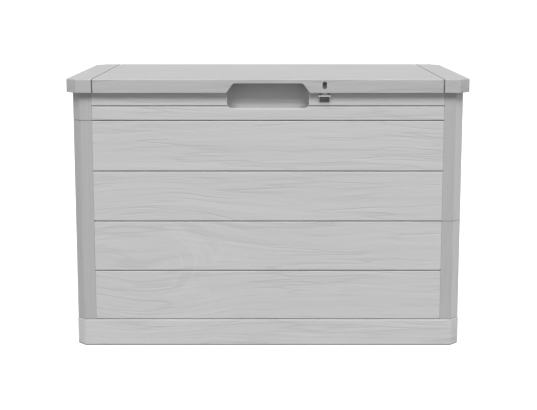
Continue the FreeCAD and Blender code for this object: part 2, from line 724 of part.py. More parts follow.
def hinge_notches(body):
    """Gaps in the back of the skirt, where the hinge knuckles sit."""
    half = "(hinge_width/2 + notch_gap + pin_head_thick)"
    top = "axis_z + knuckle_radius + 3*notch_gap"
    gaps = [rectangle(f"{side}*hinge_x - {half}", f"{side}*hinge_x + {half}",
                      "skirt_bottom - wall", top) for side in (-1, 1)]
    gaps = polygons(body, "hinge_notch_outline", "XZ_Plane", gaps, "-lid_y")
    pocket(body, "hinge_notches", gaps, "2*wall", turned=True)


def on_skirt_edge(edge):
    """The lower edge of the skirt's outside, also where it goes round the hand cut-out."""
    box = edge.BoundBox
    middle = edge.CenterOfMass
    if on(edge, y="-lid_y"):
        slot_bottom = number("lid_top - slot_drop - slot_height")
        in_slot = abs(middle.x - number("lock_x")) < number("slot_width") and middle.z > slot_bottom
        return box.ZMax < number("lid_top - 2*lid_round") and not in_slot
    if not on(edge, z="skirt_bottom"):
        return False
    reach_x = number("lid_x") - abs(middle.x)
    reach_y = number("lid_y") - abs(middle.y)
    slant = reach_x + reach_y - number("lid_cut")
    return min(reach_x, reach_y, slant) < number("wall/2") and middle.y < number("lid_y - wall/2")


def lid_ring(body):
    """The ring that closes over the rim of the walls, with gaps for hand and hinges."""
    half = ("face_x", "face_y", "post_cut")
    ring = [octagon(*half, "ring_inset"), octagon(*half, "ring_inset + lid_ring_wall")]
    ring = polygons(body, "lid_ring_outline", "XY_Plane", ring, "wall_top + rest_gap")
    pad(body, "lid_ring", ring, "lid_space - rest_gap + lid_thick/3")
    depth = "ring_inset + lid_ring_wall + notch_gap"
    leaf_half = "(leaf_width/2 + notch_gap)"
    gaps = [rectangle(f"{side}*hinge_x - {leaf_half}", f"{side}*hinge_x + {leaf_half}",
                      f"face_y - ({depth})", "face_y - ring_inset + notch_gap") for side in (-1, 1)]
    gaps.append(rectangle("-scoop_width/2", "scoop_width/2",
                          "-face_y + ring_inset - notch_gap", f"-face_y + {depth}"))
    gaps = polygons(body, "ring_gap_plan", "XY_Plane", gaps, "wall_top + rest_gap")
    pocket(body, "ring_gaps", gaps, "lid_space - rest_gap", turned=True)
    pads = [rectangle(f"{side}*hinge_x - leaf_width/2", f"{side}*hinge_x + leaf_width/2",
                      "axis_y - leaf_reach", "axis_y + leaf_back") for side in (-1, 1)]
    pads = polygons(body, "leaf_pad_plan", "XY_Plane", pads, "lid_under - leaf_pad")
    pad(body, "leaf_pads", pads, "leaf_pad + lid_thick/3")
    holes = [(f"{side}*hinge_x + {hand}*screw_x", "axis_y - leaf_screw_in")
             for side in (-1, 1) for hand in (-1, 1)]
    holes = circles(body, "leaf_screw_plan", "XY_Plane", holes, "screw_radius + screw_gap",
                    "lid_under - leaf_pad")
    pocket(body, "leaf_screw_holes", holes, "leaf_screw_length - leaf_thick + screw_gap", turned=True)


def lid_ribs(body):
    half = "lid_rib_wall/2"
    end = "(face_x - ring_inset - lid_ring_wall/2)"
    height = "lid_rib_height + lid_thick/3"
    long_ribs = [rectangle(f"-{end}", end, f"{k}*lid_rib_y - {half}", f"{k}*lid_rib_y + {half}")
                 for k in LID_RIBS_Y]
    long_ribs = polygons(body, "lid_long_rib_plan", "XY_Plane", long_ribs, "lid_under - lid_rib_height")
    pad(body, "lid_long_ribs", long_ribs, height)
    cross_ribs = [rectangle(f"{k}*lid_rib_x - {half}", f"{k}*lid_rib_x + {half}",
                            "-lid_rib_reach", "lid_rib_reach") for k in LID_RIBS_X]
    cross_ribs = polygons(body, "lid_cross_rib_plan", "XY_Plane", cross_ribs,
                          "lid_under - lid_rib_height")
    pad(body, "lid_cross_ribs", cross_ribs, height)


def lid_grooves(body):
    """The two grooves that run down the front, over the top and down the back."""
    def profile(x, surface, inward, beyond):
        """A groove's section, as places across it and heights from the lid's middle."""
        bottom = f"{surface} - {inward}*lid_groove_depth"
        return [
            (f"{x} - lid_groove_width/2", surface),
            (f"{x} - lid_groove_floor/2", bottom),
            (f"{x} + lid_groove_floor/2", bottom),
            (f"{x} + lid_groove_width/2", surface),
            (f"{x} + lid_groove_width/2", beyond),
            (f"{x} - lid_groove_width/2", beyond),
        ]

    places = [f"{side}*lid_groove_x" for side in (-1, 1)]
    over = [profile(x, "lid_top", 1, "lid_top + wall") for x in places]
    over = polygons(body, "top_groove_section", "XZ_Plane", over)
    pocket(body, "top_grooves", over, "2*(lid_y + wall)", both_ways=True)
    down = [profile(x, f"{end}*lid_y", end, f"{end}*(lid_y + wall)")
            for x in places for end in (-1, 1)]
    down = polygons(body, "skirt_groove_plan", "XY_Plane", down, "lid_top + wall")
    pocket(body, "skirt_grooves", down, "skirt_height + 2*wall")


# Hinges: each piece's own frame starts at the middle of the hinge's axis

def hinge_bracket(name, side):
    body = new_body(name)
    plate_face = "-hinge_out + plate_thick"
    section = [
        ("-hinge_out", "-plate_drop"),
        (plate_face, "-plate_drop"),
        (plate_face, "-gusset_drop"),
        ("gusset_out", "-gusset_rise"),
        ("0", "0"),
        ("-hinge_out", "0"),
    ]
    section = polygons(body, "bracket_section", "YZ_Plane", [section])
    pad(body, "bracket_plate", section, "hinge_width", both_ways=True)
    barrel = circles(body, "barrel_section", "YZ_Plane", [("0", "0")], "knuckle_radius")
    pad(body, "barrel", barrel, "hinge_width", both_ways=True)
    gap = rectangle("-hinge_out - wall", "2*knuckle_radius", "-plate_clear", "2*knuckle_radius")
    gap = polygons(body, "knuckle_gap_section", "YZ_Plane", [gap])
    pocket(body, "knuckle_space", gap, "leaf_knuckle + 2*knuckle_gap", both_ways=True)
    bore = circles(body, "bore_section", "YZ_Plane", [("0", "0")], "pin_radius + pin_gap")
    pocket(body, "bore", bore, "2*hinge_width", both_ways=True)
    holes = [(f"{hand}*screw_x", "-bracket_screw_drop") for hand in (-1, 1)]
    holes = circles(body, "bracket_holes", "XZ_Plane", holes, "screw_radius + screw_gap")
    pocket(body, "bracket_screw_holes", holes, "2*hinge_width", both_ways=True)
    place(body, f"{side}*hinge_x", "axis_y", "axis_z")
    return body


def hinge_leaf(name, side):
    body = new_body(name)
    arm_front = "leaf_back - leaf_thick"
    barrel = circles(body, "barrel_section", "YZ_Plane", [("0", "0")], "knuckle_radius")
    pad(body, "barrel", barrel, "leaf_knuckle", both_ways=True)
    arm = [
        (arm_front, "0"),
        ("leaf_back", "0"),
        ("leaf_back", "leaf_top"),
        ("-leaf_reach", "leaf_top"),
        ("-leaf_reach", "leaf_top - leaf_thick"),
        (arm_front, "leaf_top - leaf_thick"),
    ]
    arm = polygons(body, "arm_section", "YZ_Plane", [arm])
    pad(body, "arm", arm, "leaf_knuckle", both_ways=True)
    flat = rectangle("-leaf_reach", arm_front, "leaf_top - leaf_thick", "leaf_top")
    flat = polygons(body, "leaf_section", "YZ_Plane", [flat])
    pad(body, "leaf_plate", flat, "leaf_width", both_ways=True)
    bore = circles(body, "bore_section", "YZ_Plane", [("0", "0")], "pin_radius + pin_gap")
    pocket(body, "bore", bore, "2*leaf_width", both_ways=True)
    holes = [(f"{hand}*screw_x", "-leaf_screw_in") for hand in (-1, 1)]
    holes = circles(body, "leaf_holes", "XY_Plane", holes, "screw_radius + screw_gap", "leaf_top + wall")
    pocket(body, "leaf_screw_holes", holes, "leaf_thick + 2*wall")
    place(body, f"{side}*hinge_x", "axis_y", "axis_z")
    return body


def hinge_pin(name, side):
    body = new_body(name)
    shaft = circles(body, "pin_section", "YZ_Plane", [("0", "0")], "pin_radius",
                    "-hinge_width/2 - fit_gap")
    pad(body, "pin_shaft", shaft, "hinge_width + 2*fit_gap")
    head = circles(body, "head_section", "YZ_Plane", [("0", "0")], "pin_head",
                   "hinge_width/2 + fit_gap")
    pad(body, "pin_head", head, "pin_head_thick")
    place(body, f"{side}*hinge_x", "axis_y", "axis_z")
    return body


def primitive(kind, name, at, **sizes):
    """A Part primitive with its sizes and place tied to the sheet."""
    thing = doc.addObject("Part::" + kind, name)
    for field, text in sizes.items():
        thing.setExpression(field, full(text))
    place(thing, "0", "0", at)
    return thing


def screw(name, length, x, y, z, tilt):
    """A screw with its head's underside at (x, y, z), pointing along -Z before the tilt."""
    shank = primitive("Cylinder", name + "_shank", f"-({length})", Radius="screw_radius", Height=length)
    head = primitive("Cylinder", name + "_head", "0", Radius="screw_head", Height="screw_head_thick")
    whole = doc.addObject("Part::Fuse", name + "_blank")
    whole.Base = shank
    whole.Tool = head
    socket = primitive("Prism", name + "_socket", "screw_head_thick - screw_socket_depth",
                       Circumradius="screw_socket", Height="screw_head_thick")
    socket.Polygon = 6
    done = doc.addObject("Part::Cut", name)
    done.Base = whole
    done.Tool = socket
    place(done, x, y, z)
    done.Placement.Rotation = FreeCAD.Rotation(FreeCAD.Vector(1, 0, 0), tilt)
    return done


def screw_group(name, length, y, z, tilt):
    """Four screws, two to each hinge."""
    screws = []
    for side in (-1, 1):
        for hand in (-1, 1):
            x = f"{side}*hinge_x + {hand}*screw_x"
            screws.append(screw(f"{name}_{len(screws) + 1}", length, x, y, z, tilt))
    group = doc.addObject("Part::Compound", name)
    group.Label = name
    group.Links = screws
    return group


def hinges():
    pieces = []
    for word, side in (("left", -1), ("right", 1)):
        pieces.append(hinge_bracket(f"hinge_bracket_{word}", side))
        pieces.append(hinge_leaf(f"hinge_leaf_{word}", side))
        pieces.append(hinge_pin(f"hinge_pin_{word}", side))
    # A bracket screw's head faces the back, and a leaf screw's head faces down
    pieces.append(screw_group("hinge_bracket_screws", "bracket_screw_length",
                              "face_y + plate_thick", "axis_z - bracket_screw_drop", -90))
    pieces.append(screw_group("hinge_leaf_screws", "leaf_screw_length",
                              "axis_y - leaf_screw_in", "axis_z + leaf_top - leaf_thick", 180))
    return pieces


parts = [base_tray(), *walls(), *posts(), padlock_staple(), lid_shell(), *hinges()]
doc.recompute()

faults = [thing.Name for thing in doc.Objects if "Invalid" in thing.State or "Error" in thing.State]
faults += [part.Label for part in parts if part.Shape.isNull() or not part.Shape.isValid()]
if faults:
    raise ValueError("failed: " + ", ".join(faults))

os.makedirs("parts", exist_ok=True)
for part in parts:
    part.Shape.exportStep(f"parts/{part.Label}.step")
    box = part.Shape.BoundBox
    print(f"{part.Label:28} {len(part.Shape.Solids)} solid(s) {part.Shape.Volume / 1000:9.2f} cm3 "
          f"x {box.XMin:.1f} {box.XMax:.1f} y {box.YMin:.1f} {box.YMax:.1f} z {box.ZMin:.1f} {box.ZMax:.1f}")
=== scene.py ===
# %% [markdown]
# # A plastic storage box for cushions
# On the real thing every wall, the base and the lid are injection mouldings in light grey
# polypropylene, pressed with a shallow wood grain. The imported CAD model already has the
# mouldings, the hinges and the screws in their places, so this lesson keeps those shapes and
# gives them their finishes. The script starts with that model, because all else is set by it.

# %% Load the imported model
import math

import bmesh
import bpy
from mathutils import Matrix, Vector


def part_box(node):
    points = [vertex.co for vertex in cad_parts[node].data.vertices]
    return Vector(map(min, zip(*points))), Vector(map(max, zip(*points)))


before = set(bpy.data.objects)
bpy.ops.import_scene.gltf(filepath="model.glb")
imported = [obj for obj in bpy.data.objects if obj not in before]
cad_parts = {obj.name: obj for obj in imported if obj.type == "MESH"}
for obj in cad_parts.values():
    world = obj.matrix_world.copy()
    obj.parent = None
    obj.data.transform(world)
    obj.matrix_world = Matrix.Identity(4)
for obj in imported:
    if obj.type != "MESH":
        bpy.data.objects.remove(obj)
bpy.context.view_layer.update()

# %% [markdown]
# ## Outlines of the mouldings
# A moulding's finish changes with depth: the grain is pressed only into the outside, the
# grooves get painted shade at the bottom, and the inside is plain. Seen from above, the walls,
# the base and the lid are each a rectangle with its corners cut off, so two half sizes and the
# length of the cut are enough to tell how deep a point lies. The half sizes are read from the
# model, so they follow it when it changes.

# %% Measure the mouldings
MM = 0.001
wall_face = -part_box("front_panel")[0].y
wall_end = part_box("right_side_panel")[1].x
base_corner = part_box("base_tray")[1]
lid_low, lid_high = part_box("lid_shell")
WALL_CUT = 16.0 * MM
BASE_CUT = 16.4 * MM
LID_CUT = 21.0 * MM
WALLS = (wall_end, wall_face, WALL_CUT)
BASE = (base_corner.x, base_corner.y, BASE_CUT)
LID = (lid_high.x, lid_high.y, LID_CUT)
for name, outline in (("walls", WALLS), ("base", BASE), ("lid", LID)):
    print(name, "half width, half depth and cut corner:", [f"{1000 * v:.1f} mm" for v in outline])

# %% [markdown]
# ## Sums on sockets
# A finish here is a sum of several patterns. Such a sum could be built node by node, but it
# would be hard to follow. `Wire` wraps one socket, so a plain Python expression adds the Math
# nodes. Everything that isn't arithmetic comes from `Finish.node`, which sets a node up and
# plugs it in.

# %% Write shader sums as Python
class Wire:
    """One output socket of a finish. Arithmetic on it adds Math nodes."""

    def __init__(self, finish, socket):
        self.finish = finish
        self.socket = socket

    def maths(self, operation, *values):
        """One Math node."""
        return self.finish.node("ShaderNodeMath", {"operation": operation}, dict(enumerate(values)))

    def __add__(self, other):
        return self.maths("ADD", self, other)

    def __sub__(self, other):
        return self.maths("SUBTRACT", self, other)

    def __rsub__(self, other):
        return self.maths("SUBTRACT", other, self)

    def __mul__(self, other):
        return self.maths("MULTIPLY", self, other)

    def __abs__(self):
        return self.maths("ABSOLUTE", self)

    def least(self, other):
        return self.maths("MINIMUM", self, other)

    __radd__ = __add__
    __rmul__ = __mul__


class Finish:
    """The nodes of a material or of the sky, added one call at a time."""

    def __init__(self, owner):
        self.owner = owner
        owner.use_nodes = True
        self.tree = owner.node_tree
        self.tree.nodes.clear()

    def node(self, kind, settings=None, inputs=None, output=0):
        """Adds a node, sets it up, plugs it in and gives back one of its outputs."""
        made = self.tree.nodes.new(kind)
        for name, value in (settings or {}).items():
            setattr(made, name, value)
        for key, value in (inputs or {}).items():
            if isinstance(value, Wire):
                self.tree.links.new(value.socket, made.inputs[key])
            else:
                made.inputs[key].default_value = value
        return Wire(self, made.outputs[output]) if made.outputs else None


def new_finish(name):
    """A material with an empty node tree."""
    return Finish(bpy.data.materials.new(name))


print("Wire and Finish are ready, so sums can be written on sockets")

# %% [markdown]
# ## Helpers for patterns
# The finishes are made of noise that is stretched one way, and of steps with soft edges. An
# image could be laid on the box instead, but it would need unfolding at every corner. Noise on
# Object coordinates needs none: they are metres in the CAD frame, so a pattern keeps its real
# size, runs on round a corner, and moves with its piece when the lid opens.

# %% Stretched noise, soft steps and depth
EDGE = 0.5 * MM


def spot(finish):
    """The three Object coordinates."""
    where = finish.node("ShaderNodeTexCoord", output="Object")
    return [finish.node("ShaderNodeSeparateXYZ", inputs={0: where}, output=k) for k in range(3)]


def noise(finish, x, y, z, detail=2.0, roughness=0.5):
    """Noise from 0 to 1 at a point whose three numbers are given in noise cells."""
    point = finish.node("ShaderNodeCombineXYZ", inputs={0: x, 1: y, 2: z})
    return finish.node("ShaderNodeTexNoise", {"noise_dimensions": "3D"},
                       {"Vector": point, "Scale": 1.0, "Detail": detail, "Roughness": roughness})


def soft_step(finish, value, low, high):
    """0 below low, 1 above high, and smooth in between. low may be the larger one."""
    # Map Range takes a value, the range that it comes from and the range that it goes to.
    return finish.node("ShaderNodeMapRange", {"interpolation_type": "SMOOTHSTEP"},
                       {0: value, 1: low, 2: high, 3: 0.0, 4: 1.0})


def mix(finish, factor, a, b):
    """Value a where the factor is 0, value b where it is 1."""
    # The Mix node has one pair of inputs for each type: 2 and 3 take numbers, 6 and 7 colours.
    return finish.node("ShaderNodeMix", {"data_type": "FLOAT"}, {0: factor, 2: a, 3: b})


def tinted(finish, colour, level):
    """A colour made lighter or darker by a level near 1."""
    return finish.node("ShaderNodeMix", {"data_type": "RGBA", "blend_type": "MULTIPLY"},
                       {0: 1.0, 6: colour, 7: level}, output=2)


def between(finish, value, low, high):
    """1 from low to high, and 0 from half a millimetre outside them."""
    return soft_step(finish, value, low - EDGE, low) * soft_step(finish, value, high + EDGE, high)


def behind_outline(x, y, outline):
    """How far a point lies behind the straight sides and behind the cut corner, in metres."""
    half_x, half_y, cut = outline
    from_x = half_x - abs(x)
    from_y = half_y - abs(y)
    return from_x.least(from_y), (from_x + from_y - cut) * math.sqrt(0.5)


print(f"patterns can be laid, the edges of a band are {1000 * EDGE:.1f} mm wide")

# %% [markdown]
# ## Pressed wood grain
# The grain on the real box is a steel mould's copy of brushed softwood: thin wavy growth lines
# about a centimetre apart, which fade in and out every hand's width, low streaks between them,
# and fine fibres. It could be real geometry, but it is only a tenth of a millimetre or so high,
# so a bump does it. Wood runs far one way and changes quickly across, so each noise has few
# cells per metre along the wood and many across it. A growth line lies where such a noise
# passes through its middle value, as a contour line does on a map.

# %% Work out the grain's height
# Cells per metre along the wood, cells per metre across it, and a shift of the noise's own.
STREAKS = (2.8, 42.0, 3.1)
GROWTH = (4.2, 68.0, 9.4)
PATCHES = (3.6, 20.0, 7.7)
FIBRES = (12.0, 300.0, 1.9)
BEND = (4.5, 9.0, 0.4)
BEND_REACH = 28.0 * MM
LINE_WIDTH = 0.07
PATCH_EDGE = (0.34, 0.56)


def wood_grain(finish, x, y, z, runs):
    """Streaks, growth lines and fibres, each from 0 to 1. runs names the wood's axes."""
    def at(cells, bend=0.0):
        """The point in noise cells. The shift keeps one noise from repeating another."""
        along, across, shift = cells
        return [v * along + shift if axis in runs else (v + bend) * across + shift
                for axis, v in zip("xyz", (x, y, z))]

    bend = (noise(finish, *at(BEND), detail=1.0) - 0.5) * BEND_REACH
    streaks = noise(finish, *at(STREAKS, bend), detail=3.0, roughness=0.58)
    growth = noise(finish, *at(GROWTH, bend), detail=1.5)
    present = soft_step(finish, noise(finish, *at(PATCHES), detail=1.0), *PATCH_EDGE)
    lines = soft_step(finish, abs(growth - 0.5), LINE_WIDTH, 0.0) * present
    fibres = noise(finish, *at(FIBRES, bend), detail=2.0, roughness=0.6)
    return streaks, lines, fibres


print(f"grain cells {1000 / GROWTH[0]:.0f} mm long and {1000 / GROWTH[1]:.0f} mm wide")

# %% [markdown]
# ## The knot behind the lower planks
# On the real box the grain is pressed over all planks at once. Left of the middle the lines
# part round a knot that nobody sees whole, and pale rings swing round its right side. The lines
# part because the height that the noises are given is pulled towards the knot's. The rings are
# contour lines as well, of a noise that changes with the distance from the knot.

# %% Part the grain and draw rings round the knot
KNOT_X = -224.0 * MM
KNOT_Z = 160.0 * MM
KNOT_STRETCH = 1.3
KNOT_REACH = 190.0 * MM
KNOT_HEART = 0.2
KNOT_PULL = 0.45
KNOT_RINGS = 34.0
RING_WOBBLE = 9.0
RING_WIDTH = 0.08
RINGS_START = 50.0 * MM


def round_knot(finish, x, z):
    """The height to give the grain, and pale rings from 0 to 1 on the right of the knot."""
    along = (x - KNOT_X) * (1.0 / KNOT_STRETCH)
    up = z - KNOT_Z
    reach = finish.node("ShaderNodeMath", {"operation": "SQRT"}, {0: along * along + up * up})
    near = soft_step(finish, reach, KNOT_REACH, KNOT_HEART * KNOT_REACH)
    noisy = noise(finish, reach * KNOT_RINGS, x * RING_WOBBLE, z * RING_WOBBLE, detail=1.0)
    right = soft_step(finish, x, KNOT_X, KNOT_X + RINGS_START)
    rings = soft_step(finish, abs(noisy - 0.5), RING_WIDTH, 0.0) * near * right
    return z - up * near * KNOT_PULL, rings


print(f"knot {-1000 * KNOT_X:.0f} mm left of the middle and {1000 * KNOT_Z:.0f} mm up")

# %% [markdown]
# ## Shade in the hand scoop
# The front wall has a hollow under the lid's cut-out, for the hand that lifts the lid. It is
# darkest at its top and in its two lower corners. The lamps alone leave it too light there, and
# more lamps would change the rest of the box too, so the finish gets a little darker instead.

# %% Shade the scoop
SCOOP_HALF = 80.0 * MM
SCOOP_LOW = 473.0 * MM
SCOOP_RIM = (0.1 * MM, 0.8 * MM)
HIGH_STARTS = (493.0 * MM, 518.0 * MM)
HIGH_SHADE = 0.29
SLOPE_STARTS = (486.0 * MM, 480.0 * MM)
SLOPE_SHADE = 0.10
CORNER_SIDE = (54.0 * MM, 68.0 * MM)
CORNER_TOP = (481.0 * MM, 476.0 * MM)
CORNER_SHADE = 0.30


def scoop_shade(finish, x, z, depth):
    """Shade at the top of the hand scoop, on its lower slope and in its two lower corners."""
    high = soft_step(finish, z, *HIGH_STARTS) * HIGH_SHADE
    slope = soft_step(finish, z, *SLOPE_STARTS) * SLOPE_SHADE
    corners = soft_step(finish, abs(x), *CORNER_SIDE) * soft_step(finish, z, *CORNER_TOP)
    return (high + slope + corners * CORNER_SHADE) * soft_step(finish, depth, *SCOOP_RIM)


print(f"scoop {2000 * SCOOP_HALF:.0f} mm wide, its lower edge {1000 * SCOOP_LOW:.0f} mm up")

# %% [markdown]
# ## Painted shade on the walls
# Painted shade darkens the bottoms of the planks' grooves and the recess behind the padlock
# staple. Such narrow places are hardly a pixel wide in the picture, and a lamp leaves them too
# light, so their colour is painted darker. The staple's place is read from the model. The scoop
# has no grooves, so it is left out.

# %% Darken the walls' grooves and the recess
staple_low, staple_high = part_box("padlock_staple")
LOCK_X = (staple_low.x + staple_high.x) / 2
RECESS_HALF = 9.6 * MM
RECESS_DEPTH = (1.0 * MM, 8.3 * MM)
RECESS_BELOW = 10.5 * MM
RECESS_ABOVE = 1.5 * MM
RECESS_Z = (staple_low.z - RECESS_BELOW, staple_low.z + RECESS_ABOVE)
# How much painted shade darkens the recess.
RECESS_SHADE = 0.55


def wall_painted_shade(finish, x, y, z, depth, groove):
    """Painted shade in the grooves and behind the staple. In the hand scoop there is only its
    shade.
    """
    front = soft_step(finish, y, 0.0, -MM)
    scoop = (soft_step(finish, abs(x), SCOOP_HALF, SCOOP_HALF - MM)
             * soft_step(finish, z, SCOOP_LOW, SCOOP_LOW + MM))
    # Painted shade in the recess behind the staple.
    recess = (between(finish, x, LOCK_X - RECESS_HALF, LOCK_X + RECESS_HALF)
              * between(finish, z, *RECESS_Z) * between(finish, depth, *RECESS_DEPTH))
    scoop = scoop * front
    shade = scoop_shade(finish, x, z, depth) * scoop
    return groove * (1.0 - scoop) + shade + recess * front * RECESS_SHADE


print(f"staple at x = {LOCK_X:.3f} m, recess from {RECESS_Z[0]:.3f} m to {RECESS_Z[1]:.3f} m up")

# %% [markdown]
# ## Painted shade on the posts and the base
# Each post is two mouldings, one on top of the other, with painted shade along the joint between
# them. On two opposite corners it is low, on the other two it is high, and the model's upper
# mouldings tell both heights. The base gets painted shade, darkest where it stands on the ground.

# %% Darken the joints and the foot
LOW_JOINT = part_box("post_front_right_upper")[0].z
HIGH_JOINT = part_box("post_front_left_upper")[0].z
JOINT_EDGE = (1.4 * MM, 0.4 * MM)
# How much painted shade darkens a post's joint.
JOINT_SHADE = 0.45
FOOT_EDGE = (3.4 * MM, 1.4 * MM)


def post_joint_shade(finish, x, y, z, groove):
    """Painted shade in the joint of a post. Posts at opposite corners have it at the same height.
    """
    joint = mix(finish, soft_step(finish, x * y, -MM, MM), LOW_JOINT, HIGH_JOINT)
    return groove + soft_step(finish, abs(z - joint), *JOINT_EDGE) * JOINT_SHADE


def foot_shade(finish, z, outside):
    """Painted shade on the lowest few millimetres of the base's outside, where it meets the ground.
    """
    return soft_step(finish, z, *FOOT_EDGE) * outside


print(f"post joints {LOW_JOINT:.3f} m and {HIGH_JOINT:.3f} m up")

# %% [markdown]
# ## Grained plastic
# Polypropylene is matt with a faint sheen. The grain is mostly relief, and a little darker in
# its lines. Behind the skin the mould is plain, so the grain fades out there and in the hand
# scoop, and only a fine speckle is left. The four grained mouldings share this one recipe, and
# differ in tone, in the way their wood runs and in where their painted shade lies. On the posts
# to the right the slanted face gets a painted highlight, so it is paler.

# %% Build the grained plastics
SKIN = (2.6 * MM, 2.1 * MM)  # the grain fades out between these depths
GROOVE_FLOOR = (0.6 * MM, 1.5 * MM)  # and the painted shade of a groove fades in between these
ROUGH = 0.5
FIBRE_ROUGH = 0.12
SHEEN = 0.4
SPECKLE = 900.0
SPECKLE_HEIGHT = 0.008
# How much the painted shade darkens the colour where it is full.
GROOVE_DARK = 0.7
# How much paler the painted highlight makes the slanted face of the right posts.
PAINTED_LIGHT_CORNER = 0.22
SLANT_EDGE = (0.3 * MM, 1.0 * MM)
SEAM_EDGE = 0.2 * MM
STREAK_SHADE, LINE_SHADE, FIBRE_SHADE, RING_SHADE = 0.10, 0.06, 0.04, 0.05
# The heights are in millimetres, as the bump's distance is one millimetre.
STREAK_HEIGHT, LINE_HEIGHT, FIBRE_HEIGHT, RING_HEIGHT = 1.2, 0.20, 0.03, 0.06


def grained_plastic(name, tone, outline, runs, top=None, contrast=1.0, ends=None, wall=False,
                    foot=False, post=False):
    """Light grey moulding. ends gives where the boards at the ends start and how they run."""
    finish = new_finish(name)
    x, y, z = spot(finish)
    height, rings = round_knot(finish, x, z) if wall else (z, 0.0)
    grain = wood_grain(finish, x, y, height, runs)
    if ends:
        start, end_runs = ends
        past = soft_step(finish, abs(x), start - SEAM_EDGE, start + SEAM_EDGE)
        grain = [mix(finish, past, a, b)
                 for a, b in zip(grain, wood_grain(finish, x, y, z, end_runs))]
    streaks, lines, fibres = grain
    from_side, from_corner = behind_outline(x, y, outline)
    depth = from_side.least(from_corner)
    if top:
        depth = depth.least(top - z)
    outside = soft_step(finish, depth, *SKIN)
    # Painted shade at the bottoms of the grooves; the walls, the base and the posts add more below.
    painted_shade = soft_step(finish, depth, *GROOVE_FLOOR) * outside
    pale = 0.0
    if wall:
        painted_shade = wall_painted_shade(finish, x, y, z, depth, painted_shade)
    # Painted shade at the foot of the base.
    if foot:
        painted_shade = painted_shade + foot_shade(finish, z, outside)
    if post:
        painted_shade = post_joint_shade(finish, x, y, z, painted_shade)
        # Painted highlight: the slanted face of the posts on the right is painted paler.
        slanted = soft_step(finish, from_side - from_corner, *SLANT_EDGE)
        pale = slanted * soft_step(finish, x, -MM, MM) * PAINTED_LIGHT_CORNER
    shade = ((streaks - 0.5) * STREAK_SHADE - lines * LINE_SHADE
             + (fibres - 0.5) * FIBRE_SHADE + rings * RING_SHADE)
    # The colour is lifted by the posts' painted highlight and lowered by painted shade.
    level = (1.0 + pale + shade * outside * contrast) * (1.0 - painted_shade * GROOVE_DARK)
    speckle = noise(finish, x * SPECKLE, y * SPECKLE, z * SPECKLE, detail=1.0)
    relief = (streaks * STREAK_HEIGHT - lines * LINE_HEIGHT
              + fibres * FIBRE_HEIGHT + rings * RING_HEIGHT)
    bump = finish.node("ShaderNodeBump",
                       inputs={"Strength": 1.0, "Distance": MM,
                               "Height": relief * outside * contrast + speckle * SPECKLE_HEIGHT})
    surface = finish.node("ShaderNodeBsdfPrincipled",
                          inputs={"Base Color": tinted(finish, (tone, tone, tone, 1.0), level),
                                  "Roughness": ROUGH + (0.5 - fibres) * FIBRE_ROUGH * outside,
                                  "Normal": bump, "Specular IOR Level": SHEEN})
    finish.node("ShaderNodeOutputMaterial", inputs={"Surface": surface})
    print(f"{name}: {len(finish.tree.nodes)} nodes")
    return finish.owner


print(f"plastic: roughness {ROUGH}, grain down to {1000 * SKIN[0]:.1f} mm behind the skin")

# %% [markdown]
# ## Four grained mouldings
# On the walls and the base the wood runs sideways round the box, and on the posts it runs up.
# The lid copies a table top: its middle runs sideways, and past two long grooves an end board
# runs from front to back. In the photograph the lid and the posts are darker than the walls, so
# each moulding has a tone of its own. The tones were set by comparing renders with the
# photograph, because lamps and tone can't be told apart in one picture.

# %% Mould the walls, the base, the posts and the lid
WALL_TONE = 0.47
BASE_TONE = 0.477
POST_TONE = 0.375
LID_TONE = 0.382
END_BOARD = 52.0 * MM
LID_SEAM = lid_high.x - END_BOARD
wall_plastic = grained_plastic("wall_plastic", WALL_TONE, WALLS, "xy", wall=True)
base_plastic = grained_plastic("base_plastic", BASE_TONE, BASE, "xy", wall=True, foot=True)
post_plastic = grained_plastic("post_plastic", POST_TONE, WALLS, "z", contrast=0.7, post=True)
lid_plastic = grained_plastic("lid_plastic", LID_TONE, LID, "x", top=lid_high.z, contrast=1.3,
                              ends=(LID_SEAM, "y"))

# %% [markdown]
# ## Hinge plastic and zinc-plated steel
# The hinges are a plain, tougher plastic with a spark-eroded skin, and the screws and pins are
# steel with a thin zinc coat that varies a little from place to place. The photograph shows
# none of them, so these finishes are kept plain. Only the staple is seen, and it is as light as
# the wall.

# %% Build the hardware's finishes
CLOUDS = 60.0
ZINC_CLOUDS = 300.0
DARK_ZINC = (0.50, 0.51, 0.53, 1.0)
LIGHT_ZINC = (0.66, 0.66, 0.64, 1.0)
EROSION_HEIGHT = 0.04 * MM
CLOUD_SHADE, SPECKLE_SHADE, CLOUD_ROUGH = 0.08, 0.05, 0.1
ZINC_HEIGHT = 0.02 * MM
ZINC_ROUGH, ZINC_ROUGHER = 0.28, 0.2


def plain_plastic(name, tone, rough):
    """Ungrained plastic with a fine skin and faint clouds."""
    finish = new_finish(name)
    x, y, z = spot(finish)
    speckle = noise(finish, x * SPECKLE, y * SPECKLE, z * SPECKLE, detail=2.0)
    cloud = noise(finish, x * CLOUDS, y * CLOUDS, z * CLOUDS)
    level = 1.0 + (cloud - 0.5) * CLOUD_SHADE + (speckle - 0.5) * SPECKLE_SHADE
    bump = finish.node("ShaderNodeBump",
                       inputs={"Strength": 1.0, "Distance": EROSION_HEIGHT, "Height": speckle})
    surface = finish.node("ShaderNodeBsdfPrincipled",
                          inputs={"Base Color": tinted(finish, (tone, tone, tone, 1.0), level),
                                  "Roughness": rough + (cloud - 0.5) * CLOUD_ROUGH,
                                  "Normal": bump})
    finish.node("ShaderNodeOutputMaterial", inputs={"Surface": surface})
    return finish.owner


